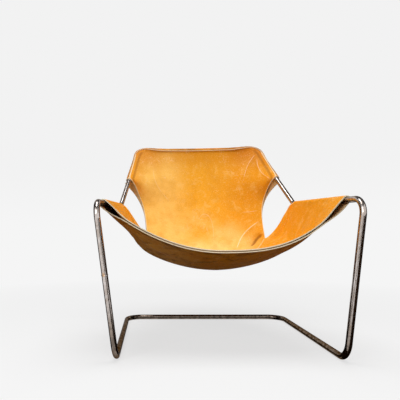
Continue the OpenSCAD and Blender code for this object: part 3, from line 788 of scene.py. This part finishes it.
def leather_grain(name, hide, soil_and_shade, roughness, shade_and_streaks):
    """Vegetable-tanned cowhide, waxed: golden tan with soft clouds, thin pale growth marks, and creases
    that the wax has cracked pale or that have painted shade in their folds. It is paler in the middle of
    the seat, a painted sheen, and is deeper towards the top, the arms and the sitter's left. The second
    colour is what use turns it to, in patches, and on the outer panel it is painted shade. The last number
    is how far all of it turns to that colour, and how strongly the hide is streaked and has shade painted
    beside its cut edges. The grain is finer than a millimetre and wouldn't show, so it is drawn 2 to 4 mm
    wide"""
    material, tree = new_material(name)
    place = add(tree, "ShaderNodeTexCoord").outputs["Object"]
    across, _, high = add(tree, "ShaderNodeSeparateXYZ", {0: place}).outputs
    waves = patches(tree, place, 0.12, 0.3, 0.7)
    drift = add(tree, "ShaderNodeMath", {0: waves, 1: 0.12}, operation="MULTIPLY").outputs[0]
    from_seat = add(tree, "ShaderNodeVectorMath", {
        0: place, 1: SEAT_MIDDLE}, operation="DISTANCE").outputs["Value"]
    from_seat = add(tree, "ShaderNodeMath", {0: from_seat, 1: drift}, operation="ADD").outputs[0]
    marks = add(tree, "ShaderNodeTexNoise", {
        "Vector": place, "Scale": 1 / 0.05, "Detail": 4.0, "Roughness": 0.6,
        "Distortion": 0.8}).outputs["Fac"]
    edge, off, tone = (
        add(tree, "ShaderNodeAttribute", attribute_name=name).outputs["Fac"]
        for name in ("edge_off", "crease_off", "crease_tone"))
    # How much painted shade each crease's fold gets: the negative of its tone
    dark = add(tree, "ShaderNodeMath", {0: tone, 1: -1.0}, operation="MULTIPLY").outputs[0]
    broken = patches(tree, place, 0.007, 0.3, 0.5)
    top = band(tree, high, 0.76, 0.05, 0.18)
    tan = layered(
        tree, hide,
        ("#EB991A", 1.0, band(tree, across, 0.5, 0.3, 0.5)),
        ("#FBC868", 0.8, band(tree, across, -0.5, 0.36, 0.48)),
        ("#EA981A", 1.0, band(tree, across, -0.5, 0.2, 0.28)),
        # Painted sheen, paler towards the middle of the seat
        ("#FED684", 0.9, band(tree, from_seat, 0.0, 0.06, 0.3)),
        ("#FCCE78", 0.35, patches(tree, place, 0.03, 0.5, 0.7, 5.0, 0.4)),
        # On the outer panel these two layers lay painted shade, in patches and all over
        (soil_and_shade, 0.35, patches(tree, place, 0.05, 0.58, 0.3, 3.0)),
        (soil_and_shade, shade_and_streaks),
        ("#6E3402", shade_and_streaks, patches(tree, place, 0.045, 0.48, 0.64, 4.0, 0.8)),
        ("#F09A34", shade_and_streaks, patches(tree, place, 0.028, 0.56, 0.68, 4.0, 0.8)),
        ("#D48418", 0.55, top),
        ("#C87410", 0.9, top, band(tree, across, 0.36, 0.16, 0.26)),
        ("#CC7A12", 0.7, top, band(tree, across, -0.36, 0.14, 0.24)),
        ("#B2640A", 0.18, patches(tree, place, 0.0042, 0.52, 0.68, 2.0)),
        ("#FFDC90", 0.3, patches(tree, place, 0.0036, 0.55, 0.7, 2.0)),
        ("#FFE2B4", 0.4, band(tree, marks, 0.5, 0.0, 0.01), patches(tree, place, 0.07, 0.5, 0.64)),
        ("#FFE6C0", 0.9, band(tree, off, 0.0, 0.0004, 0.0022), tone, broken),
        # Painted shade along the folds of the creases that sink away from the sitter
        ("#8A4A08", 0.9, band(tree, off, 0.0, 0.001, 0.009), dark),
        # Painted shade beside the cut edges of the outer panel, below the rim
        ("#5A3006", shade_and_streaks, band(tree, edge, 0.01, 0.006, 0.022), patches(tree, place, 0.08, 0.4, 0.6)),
        ("#FDE8C0", 0.8, band(tree, edge, 0.0, 0.001, 0.003)),
    )
    pores = add(tree, "ShaderNodeTexVoronoi", {"Vector": place, "Scale": 1 / 0.0022}).outputs["Distance"]
    wrinkles = patches(tree, place, 0.012, 0.2, 0.8, 5.0, 1.5)
    height = add(tree, "ShaderNodeMath", {0: pores, 1: wrinkles}, operation="ADD").outputs[0]
    bump = add(tree, "ShaderNodeBump", {"Height": height, "Strength": 0.12, "Distance": 0.0008})
    finish_material(tree, {
        "Base Color": tan, "Roughness": roughness, "Normal": bump.outputs["Normal"], "IOR": 1.5,
        "Specular IOR Level": 0.05})
    return material


def leather_flesh(name, flesh):
    """Flesh side of the cowhide: matt and fibrous, paler and less golden than the grain. Its fibres are
    drawn 4 mm wide, coarser than real ones, so that they show"""
    material, tree = new_material(name)
    place = add(tree, "ShaderNodeTexCoord").outputs["Object"]
    fibre = patches(tree, place, 0.004, 0.35, 0.7, 4.0)
    bump = add(tree, "ShaderNodeBump", {"Height": fibre, "Strength": 0.4, "Distance": 0.001})
    finish_material(tree, {
        "Base Color": layered(tree, flesh, ("#F6D6A4", 1.0, fibre)), "Roughness": 0.9,
        "Normal": bump.outputs["Normal"], "Specular IOR Level": 0.2})
    return material


def leather_edge(name, raw):
    """Cut edge, left raw: pale and fibrous against the waxed face. Its fibres are drawn 3 mm wide, coarser
    than real ones, so that they show"""
    material, tree = new_material(name)
    place = add(tree, "ShaderNodeTexCoord").outputs["Object"]
    fibre = patches(tree, place, 0.003, 0.35, 0.7)
    finish_material(tree, {
        "Base Color": layered(tree, raw, ("#B48C58", 0.3, fibre)), "Roughness": 0.75,
        "Specular IOR Level": 0.3})
    return material


def bar_steel(name, steel):
    """Bare drawn mild steel, oiled and aged: a satin grey shine with thin patches of brown skin and fine
    dark specks, browner and darker towards the floor, with a brassy stain at the weld. Old oil dulls the
    shine where it is seen along the surface. The specks are drawn 3 mm wide, so that they show"""
    material, tree = new_material(name)
    place = add(tree, "ShaderNodeTexCoord").outputs["Object"]
    high = add(tree, "ShaderNodeSeparateXYZ", {0: place}).outputs["Z"]
    skin = patches(tree, place, 0.02, 0.36, 0.62, 5.0, 0.5)
    specks = patches(tree, place, 0.003, 0.56, 0.7)
    low = band(tree, high, 0.0, 0.02, 0.22)
    from_weld = add(tree, "ShaderNodeVectorMath", {
        0: place, 1: WELD_AT}, operation="DISTANCE").outputs["Value"]
    tone = layered(
        tree, steel,
        ("#98826A", 0.45, skin),
        ("#7E6E5E", 0.8, low),
        ("#2C2018", 0.55, low, patches(tree, place, 0.012, 0.4, 0.6, 4.0)),
        ("#6A543E", 0.35, specks),
        ("#C08A3C", 0.8, band(tree, from_weld, 0.0, 0.005, 0.011)),
    )
    gloss = add(tree, "ShaderNodeMapRange", {
        "Value": skin, "To Min": 0.16, "To Max": 0.24}).outputs["Result"]
    bump = add(tree, "ShaderNodeBump", {"Height": skin, "Strength": 0.02, "Distance": 0.0004})
    finish_material(tree, {
        "Base Color": tone, "Metallic": 1.0, "Roughness": gloss, "Normal": bump.outputs["Normal"],
        "Specular Tint": colour("#948A82")})
    return material


def waxed_thread(name, thread):
    """Waxed linen thread: pale, tightly twisted, slightly glossy"""
    material, tree = new_material(name)
    place = add(tree, "ShaderNodeTexCoord").outputs["Object"]
    twist = patches(tree, place, 0.0012, 0.35, 0.65, 2.0)
    finish_material(tree, {
        # The pale thread colour over the twist is a painted highlight, on a darker tan
        "Base Color": layered(tree, "#C79C5E", (thread, 1.0, twist)), "Roughness": 0.5,
        "Specular IOR Level": 0.4})
    return material


# Stitches, which Geometry Nodes lay along a seam

def stitch_tree():
    tree = bpy.data.node_groups.new("Stitch row", "GeometryNodeTree")
    face = tree.interface
    face.new_socket("Geometry", in_out="INPUT", socket_type="NodeSocketGeometry")
    for name in ("Pitch", "Stitch length", "Thread thickness"):
        face.new_socket(name, in_out="INPUT", socket_type="NodeSocketFloat")
    face.new_socket("Material", in_out="INPUT", socket_type="NodeSocketMaterial")
    face.new_socket("Geometry", in_out="OUTPUT", socket_type="NodeSocketGeometry")
    given = add(tree, "NodeGroupInput").outputs
    path = add(tree, "GeometryNodeMeshToCurve", {"Mesh": given["Geometry"]})
    points = add(tree, "GeometryNodeResampleCurve", {
        "Curve": path.outputs[0], "Length": given["Pitch"]}, mode="LENGTH")
    radius = add(tree, "ShaderNodeMath", {0: given["Thread thickness"], 1: 0.5}, operation="MULTIPLY")
    ball = add(tree, "GeometryNodeMeshUVSphere", {"Segments": 8, "Rings": 6, "Radius": radius.outputs[0]})
    stretch = add(tree, "ShaderNodeMath", {
        0: given["Stitch length"], 1: given["Thread thickness"]}, operation="DIVIDE")
    scale = add(tree, "ShaderNodeCombineXYZ", {"X": stretch.outputs[0], "Y": 1.0, "Z": 1.0})
    stitch = add(tree, "GeometryNodeTransform", {
        "Geometry": ball.outputs["Mesh"], "Scale": scale.outputs[0]})
    along = add(tree, "FunctionNodeAlignRotationToVector", {
        "Vector": add(tree, "GeometryNodeInputTangent").outputs[0]}, axis="X")
    row = add(tree, "GeometryNodeInstanceOnPoints", {
        "Points": points.outputs[0], "Instance": stitch.outputs[0], "Rotation": along.outputs[0]})
    real = add(tree, "GeometryNodeRealizeInstances", {"Geometry": row.outputs[0]})
    smooth = add(tree, "GeometryNodeSetShadeSmooth", {"Geometry": real.outputs[0]})
    thread = add(tree, "GeometryNodeSetMaterial", {
        "Geometry": smooth.outputs[0], "Material": given["Material"]})
    add(tree, "NodeGroupOutput", {"Geometry": thread.outputs[0]})
    return tree


def stitch_row(name, path, seams, tree, material):
    """A row of stitches along a path on the leather"""
    mesh = bpy.data.meshes.new(name)
    mesh.from_pydata(path.tolist(), [(k, k + 1) for k in range(len(path) - 1)], [])
    line = put(name, mesh)
    row = line.modifiers.new("Stitches", "NODES")
    row.node_group = tree
    given = {"Pitch": seams.stitch_pitch, "Stitch length": seams.stitch_l,
             "Thread thickness": seams.thread_d, "Material": material}
    for socket in tree.interface.items_tree:
        if socket.in_out == "INPUT" and socket.name in given:
            row[socket.identifier] = given[socket.name]
    return plain_mesh(name, line)


PATH_POINTS = 80
THREAD_RISE_SHARE = 0.3  # how far a thread's middle stands above the leather, in thread thicknesses


def trimmed(path, start):
    """The path without a stretch at both of its ends, as even points"""
    along = np.concatenate([[0], np.cumsum(np.linalg.norm(np.diff(path, axis=0), axis=1))])
    at = np.linspace(start, along[-1] - start, PATH_POINTS)
    return np.stack([np.interp(at, along, path[:, k]) for k in range(3)], 1)


def seam_paths(sling, seams):
    """The five sewn rows, by the CAD node that each stands for"""
    off = sling.leather.ply_t + seams.thread_d * THREAD_RISE_SHARE
    back = arc_degrees(seams.hem_w, sling.sleeve_r + sling.leather.ply_t)
    rail_s = np.linspace(RAIL_START, RAIL_START + STRAIGHT_SHARE * (TOP_END - RAIL_START), PATH_POINTS)
    paths = {}
    for side, word in ((1.0, "left"), (-1.0, "right")):
        u = np.full(PATH_POINTS, side)
        arm_s = np.linspace(max(0, sling.set_back[int(side)]), ARM_END, PATH_POINTS)
        paths[word + "_arm_thread"] = sling.sleeve_point(
            1, u, arm_s, False, np.full(PATH_POINTS, ARM_SEAM_ANGLE + back), off)
        paths[word + "_back_thread"] = sling.sleeve_point(
            -1, u, rail_s, False, np.full(PATH_POINTS, RAIL_SEAM_ANGLE - back), off)
    end = math.sin(BEND_START)
    u = np.linspace(-end, end, PATH_POINTS)
    paths["top_hem_thread"] = sling.sleeve_point(
        -1, u, np.full_like(u, TOP_END), True, sling.hem_angle(u) - back, off)
    return {node: trimmed(path, seams.seam_start) for node, path in paths.items()}


class CHAIR_OT_steel_bar(bpy.types.Operator):
    """Gives the bent bar its aged steel"""

    bl_idname = "chair.steel_bar"
    bl_label = "Steel bar"

    def execute(self, context):
        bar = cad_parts["frame_bar"]
        bar.data.materials.clear()
        bar.data.materials.append(bar_steel("Aged bare steel", context.scene.chair_finishes.steel))
        return {"FINISHED"}


# Flat cut of each panel in metres, across and along, measured on its modelled surface laid flat
INNER_CUT, OUTER_CUT = (0.90, 0.92), (0.85, 0.96)


class CHAIR_OT_leather(bpy.types.Operator):
    """Makes the inner and the outer leather panel, hung in the bar"""

    bl_idname = "chair.leather"
    bl_label = "Leather panels"

    def execute(self, context):
        sling = Sling(context.scene.chair_sizes, context.scene.sling_sizes)
        finishes = context.scene.chair_finishes
        flesh = leather_flesh("Flesh side of the hide", finishes.flesh)
        waxed = leather_grain("Waxed tan hide", finishes.hide, finishes.soil_and_shade, 0.55, 0.0)
        # The outer panel gets painted shade from the underside colour, as far as its last number says
        shaded_hide = leather_grain("Tan hide, drier underneath, with painted shade", finishes.hide, finishes.underside, 0.65, 0.45)
        panels = (
            ("inner_leather", "inner_panel", "leather_inner", 1, INNER_CUT, waxed,
             leather_edge("Raw cut edge, inner", finishes.inner_edge)),
            ("outer_leather", "outer_panel", "leather_outer", -1, OUTER_CUT, shaded_hide,
             leather_edge("Raw cut edge, outer", finishes.outer_edge)),
        )
        for name, node, slot, face, cut, grain, edge in panels:
            piece = leather_panel(name, sling, face, (grain, flesh, edge))
            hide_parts(node)
            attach(piece, "root")
        return {"FINISHED"}


class CHAIR_OT_stitches(bpy.types.Operator):
    """Sews the five seams"""

    bl_idname = "chair.stitches"
    bl_label = "Stitches"

    def execute(self, context):
        sling = Sling(context.scene.chair_sizes, context.scene.sling_sizes)
        seams = context.scene.seam_sizes
        tree = stitch_tree()
        thread = waxed_thread("Waxed linen thread", context.scene.chair_finishes.thread)
        for node, path in seam_paths(sling, seams).items():
            piece = stitch_row(node.replace("thread", "stitches"), path, seams, tree, thread)
            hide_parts(node)
            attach(piece, "root")
        return {"FINISHED"}


# Stage: where the photograph's camera stood, its lens and its turn, in metres and degrees
CAMERA_AT = (-0.210, -1.572, 0.3546)
CAMERA_YAW, CAMERA_TILT, CAMERA_ROLL = 2.493, 10.37, 0.502
FOCAL_PX, CENTRE_PX, PHOTO_PX = 437.3, (131.4, 152.6), 400
SENSOR = 36.0


def add_camera():
    camera = bpy.data.cameras.new("Camera")
    camera.sensor_width = SENSOR
    camera.lens = SENSOR * FOCAL_PX / PHOTO_PX
    camera.shift_x = 0.5 - CENTRE_PX[0] / PHOTO_PX
    camera.shift_y = CENTRE_PX[1] / PHOTO_PX - 0.5
    holder = put("Camera", camera)
    turned = (
        Matrix.Rotation(math.radians(CAMERA_YAW), 3, "Z")
        @ Matrix.Rotation(math.radians(90 + CAMERA_TILT), 3, "X")
        @ Matrix.Rotation(math.radians(-CAMERA_ROLL), 3, "Z"))
    holder.matrix_world = Matrix.Translation(CAMERA_AT) @ turned.to_4x4()
    bpy.context.scene.camera = holder


def add_lamp(name, size, power, place, look_at):
    lamp = bpy.data.lights.new(name, "AREA")
    lamp.shape = "RECTANGLE"
    lamp.size, lamp.size_y = size
    lamp.energy = power
    holder = put(name, lamp)
    holder.location = place
    holder.rotation_euler = (Vector(look_at) - Vector(place)).to_track_quat("-Z", "Y").to_euler()


def shown_rays(tree):
    """1 where the camera looks, also in metal or through glass, and 0 for the light that falls on things"""
    light = add(tree, "ShaderNodeLightPath").outputs
    seen = add(tree, "ShaderNodeMath", {
        0: light["Is Camera Ray"], 1: light["Is Glossy Ray"]}, operation="MAXIMUM")
    return add(tree, "ShaderNodeMath", {
        0: seen.outputs[0], 1: light["Is Transmission Ray"]}, operation="MAXIMUM").outputs[0]


# Haze over the paper: how far from the middle of the floor in metres, and its share there
HAZE_NEAR, HAZE_FAR = (0.4, 0.72), (2.0, 1.0)
HAZE = "#F5F5F5"


def floor_material(paper):
    """Seamless paper: even and pale with soft shadows on it, and a dull bounce for everything else"""
    material, tree = new_material("Seamless paper")
    place = add(tree, "ShaderNodeTexCoord").outputs["Object"]
    far = add(tree, "ShaderNodeVectorMath", {0: place}, operation="LENGTH").outputs["Value"]
    share = add(tree, "ShaderNodeMapRange", {
        "Value": far, "From Min": HAZE_NEAR[0], "From Max": HAZE_FAR[0],
        "To Min": HAZE_NEAR[1], "To Max": HAZE_FAR[1]}).outputs["Result"]
    sheet = add(tree, "ShaderNodeBsdfDiffuse", {"Color": shade(paper)})
    haze = add(tree, "ShaderNodeEmission", {"Color": shade(HAZE), "Strength": 1.0})
    seen = add(tree, "ShaderNodeMixShader", {
        0: share, 1: sheet.outputs[0], 2: haze.outputs[0]})
    bounce = add(tree, "ShaderNodeBsdfDiffuse", {"Color": colour("#84766A")})
    shown = add(tree, "ShaderNodeMixShader", {
        0: shown_rays(tree), 1: bounce.outputs[0], 2: seen.outputs[0]})
    add(tree, "ShaderNodeOutputMaterial", {"Surface": shown.outputs[0]})
    return material


FLOOR_R, FLOOR_SIDES = 14.0, 96
CARD_Z = 0.5 * MM


def add_floor(paper):
    turns = np.linspace(0, 2 * math.pi, FLOOR_SIDES, endpoint=False)
    rim = np.stack([FLOOR_R * np.cos(turns), FLOOR_R * np.sin(turns), 0 * turns], 1)
    mesh = bpy.data.meshes.new("floor")
    mesh.from_pydata([tuple(p) for p in rim.tolist()], [], [tuple(range(FLOOR_SIDES))])
    mesh.materials.append(floor_material(paper))
    put("floor", mesh)


def add_card(name, corners):
    """A near-black card that only reflections see, which gives the steel its dark sides. Corners without
    a height lie on the paper"""
    mesh = bpy.data.meshes.new(name)
    mesh.from_pydata([(*corner, CARD_Z)[:3] for corner in corners], [], [tuple(range(len(corners)))])
    card = put(name.replace(" ", "_"), mesh)
    material, tree = new_material(name)
    black = add(tree, "ShaderNodeBsdfDiffuse", {"Color": colour("#2A1C12")})
    add(tree, "ShaderNodeOutputMaterial", {"Surface": black.outputs[0]})
    mesh.materials.append(material)
    card.visible_camera = card.visible_diffuse = card.visible_shadow = False


def add_world(paper):
    """Even pale backdrop that meets the floor's haze at the horizon, under a dark ceiling, for the camera
    and for gloss, and a plain fill for the object"""
    world = bpy.data.worlds.new("Studio")
    world.use_nodes = True
    tree = world.node_tree
    tree.nodes.clear()
    way = add(tree, "ShaderNodeTexCoord").outputs["Generated"]
    up = add(tree, "ShaderNodeSeparateXYZ", {0: way}).outputs["Z"]
    backdrop = layered(
        tree, "#3C3C3C", (paper, 1.0, band(tree, up, 0.0, 0.58, 0.75)),
        (HAZE, 1.0, band(tree, up, 0.0, 0.0, 0.16)))
    fill = add(tree, "ShaderNodeBackground", {"Color": colour("#FFFFFF"), "Strength": 0.2})
    seen = add(tree, "ShaderNodeBackground", {"Color": backdrop, "Strength": 1.0})
    shown = add(tree, "ShaderNodeMixShader", {0: shown_rays(tree), 1: fill.outputs[0], 2: seen.outputs[0]})
    add(tree, "ShaderNodeOutputWorld", {"Surface": shown.outputs[0]})
    bpy.context.scene.world = world


# Lamps: size, power in watts, place, and where each looks
LAMPS = {
    "Overhead softbox": ((2.2, 1.8), 73, (0.1, -0.4, 3.1), (0, 0, 0.3)),
    "Front softbox": ((1.0, 1.5), 29, (-1.35, -2.5, 1.5), (0, 0, 0.4)),
}
# Cards: the corners of each, in metres
CARDS = {
    "Black card under the seat": ((-0.29, -0.3), (0.3, -0.3), (0.3, 0.33), (-0.29, 0.33)),
    "Black card in front of it": (
        (-0.27, -0.3), (-0.25, -0.42), (-0.15, -0.9), (-0.15, -1.6), (0.12, -1.6), (0.1, -0.9),
        (0, -0.5), (0, -0.3)),
    "Black card on the right": ((0.3, -1.7), (6, -1.7), (6, 3), (0.42, 3), (0.42, -0.25), (0.3, -0.25)),
    "Black card on the left": ((-5, -0.3), (-0.36, -0.3), (-0.36, 3), (-5, 3)),
    "Black flag overhead": ((-0.1, -1.5, 2.9), (2.2, -1.5, 2.9), (2.2, 2.5, 2.9), (-0.1, 2.5, 2.9)),
    "Black flag on the left": ((-2.2, -0.6, 0), (-2.2, 2.5, 0), (-2.2, 2.5, 2.4), (-2.2, -0.6, 2.4)),
    "Black flag on the right": ((2.2, -0.6, 0), (2.2, 2.5, 0), (2.2, 2.5, 2.4), (2.2, -0.6, 2.4)),
}


class CHAIR_OT_stage(bpy.types.Operator):
    """Sets the camera, the floor, the backdrop, the lamps and the cards"""

    bl_idname = "chair.stage"
    bl_label = "Stage"

    def execute(self, context):
        paper = context.scene.chair_finishes.paper
        context.scene.view_settings.view_transform = "Standard"
        add_camera()
        add_floor(paper)
        add_world(paper)
        for name, settings in LAMPS.items():
            add_lamp(name, *settings)
        for name, corners in CARDS.items():
            add_card(name, corners)
        return {"FINISHED"}


class CHAIR_PT_panel(bpy.types.Panel):
    """The chair's sizes, its colours and its steps"""

    bl_label = "Lounge Chair"
    bl_idname = "CHAIR_PT_panel"
    bl_space_type = "VIEW_3D"
    bl_region_type = "UI"
    bl_category = "Lounge Chair"

    def draw(self, context):
        for word, group in GROUPS.items():
            box = self.layout.box()
            for name in group.__annotations__:
                box.prop(getattr(context.scene, word), name)
        for step in STEPS:
            self.layout.operator(step.bl_idname)


GROUPS = {
    "chair_sizes": ChairSizes, "sling_sizes": SlingSizes, "seam_sizes": SeamSizes,
    "chair_finishes": ChairFinishes,
}
STEPS = (CHAIR_OT_stage, CHAIR_OT_steel_bar, CHAIR_OT_leather, CHAIR_OT_stitches)
CLASSES = (*GROUPS.values(), *STEPS, CHAIR_PT_panel)


def register():
    for cls in CLASSES:
        bpy.utils.register_class(cls)
    for word, group in GROUPS.items():
        setattr(bpy.types.Scene, word, bpy.props.PointerProperty(type=group))


def unregister():
    for word in GROUPS:
        delattr(bpy.types.Scene, word)
    for cls in reversed(CLASSES):
        bpy.utils.unregister_class(cls)


def main():
    register()
    bpy.ops.chair.stage()
    bpy.ops.chair.steel_bar()
    bpy.ops.chair.leather()
    bpy.ops.chair.stitches()


if __name__ == "__main__":
    main()
